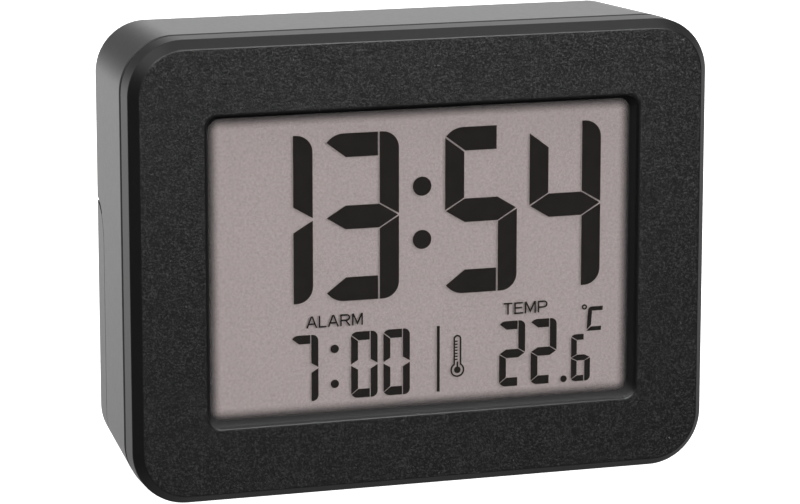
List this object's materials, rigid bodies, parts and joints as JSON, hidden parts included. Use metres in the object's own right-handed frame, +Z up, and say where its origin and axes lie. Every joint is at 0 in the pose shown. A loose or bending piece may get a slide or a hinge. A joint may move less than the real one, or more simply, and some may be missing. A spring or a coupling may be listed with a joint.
{
  "type": "desk alarm clock",
  "caption": "Upright rectangular desk alarm clock with a recessed liquid crystal window, rounded black frame, drafted rear shell, rear keys and a lift-off battery cover.",
  "frame": {"origin": "middle of the overall box at the level of the table that the clock stands on", "axes": "+X to the right as seen from the front, +Y from the face to the back, +Z up"},
  "size_m": [0.105, 0.035, 0.081],
  "materials": {
    "frame_plastic": "fine spark-eroded grain",
    "shell_plastic": "smooth satin",
    "lens_clear": "clear",
    "display_film": "clear film",
    "display_glass": "clear",
    "display_reflector": "fine grained film",
    "display_seal": "matt",
    "display_ink": "matt",
    "holder_plastic": "moulded",
    "contact_rubber": "striped elastomer",
    "board_laminate": "solder mask",
    "black_resin": "cast",
    "steel": "plated",
    "switch_plastic": "moulded",
    "key_plastic": "smooth satin",
    "ribbon_grey": "ribbed",
    "brass": "rolled",
    "ceramic": "silvered",
    "lead_red": "insulation",
    "lead_black": "insulation",
    "cell_jacket": "plain jacket",
    "foot_rubber": "matt"
  },
  "bodies": {
    "case": {"alarm_switch_housing": "steel", "battery_cell_lower": "cell_jacket", "battery_cell_upper": "cell_jacket", "battery_contact_bridge": "steel", "battery_contact_negative": "steel", "battery_contact_positive": "steel", "battery_lead_negative": "lead_black", "battery_lead_positive": "lead_red", "board_capacitor": "black_resin", "board_chips": "black_resin", "board_screws": "steel", "buzzer_ceramic": "ceramic", "buzzer_leads": "lead_red", "buzzer_plate": "brass", "case_screws": "steel", "circuit_board": "board_laminate", "clock_chip_resin": "black_resin", "front_frame": "frame_plastic", "key_board": "board_laminate", "key_board_ribbon": "ribbon_grey", "key_board_screws": "steel", "key_switches": "switch_plastic", "lcd_alarm_digits": "display_ink", "lcd_edge_seal": "display_seal", "lcd_front_glass": "display_glass", "lcd_front_polarizer": "display_film", "lcd_holder": "holder_plastic", "lcd_rear_glass": "display_glass", "lcd_reflector": "display_reflector", "lcd_symbols": "display_ink", "lcd_temperature_digits": "display_ink", "lcd_time_digits": "display_ink", "quartz_crystal": "steel", "rear_shell": "shell_plastic", "rubber_feet": "foot_rubber", "thermistor": "black_resin", "window_lens": "lens_clear", "zebra_strip_lower": "contact_rubber", "zebra_strip_upper": "contact_rubber"},
    "battery_cover": {"battery_cover": "shell_plastic"},
    "alarm_switch_knob": {"alarm_switch_knob": "key_plastic"},
    "time_button": {"time_button": "key_plastic", "time_plunger": "switch_plastic"},
    "alarm_button": {"alarm_button": "key_plastic", "alarm_plunger": "switch_plastic"},
    "up_button": {"up_button": "key_plastic", "up_plunger": "switch_plastic"},
    "down_button": {"down_button": "key_plastic", "down_plunger": "switch_plastic"},
    "snooze_button": {"snooze_button": "key_plastic", "snooze_plunger": "switch_plastic"}
  },
  "joints": [
    {"name": "battery_cover_pull", "type": "slide", "parent": "case", "child": "battery_cover", "axis": [0, 1, 0], "range_m": [0, 0.02]},
    {"name": "alarm_switch_slide", "type": "slide", "parent": "case", "child": "alarm_switch_knob", "axis": [1, 0, 0], "range_m": [0, 0.003]},
    {"name": "time_button_press", "type": "slide", "parent": "case", "child": "time_button", "axis": [0, -1, 0], "range_m": [0, 0.0005], "stiffness_N_per_m": 1500},
    {"name": "alarm_button_press", "type": "slide", "parent": "case", "child": "alarm_button", "axis": [0, -1, 0], "range_m": [0, 0.0005], "stiffness_N_per_m": 1500},
    {"name": "up_button_press", "type": "slide", "parent": "case", "child": "up_button", "axis": [0, -1, 0], "range_m": [0, 0.0005], "stiffness_N_per_m": 1500},
    {"name": "down_button_press", "type": "slide", "parent": "case", "child": "down_button", "axis": [0, -1, 0], "range_m": [0, 0.0005], "stiffness_N_per_m": 1500},
    {"name": "snooze_button_press", "type": "slide", "parent": "case", "child": "snooze_button", "axis": [0, -1, 0], "range_m": [0, 0.0005], "stiffness_N_per_m": 1500}
  ]
}
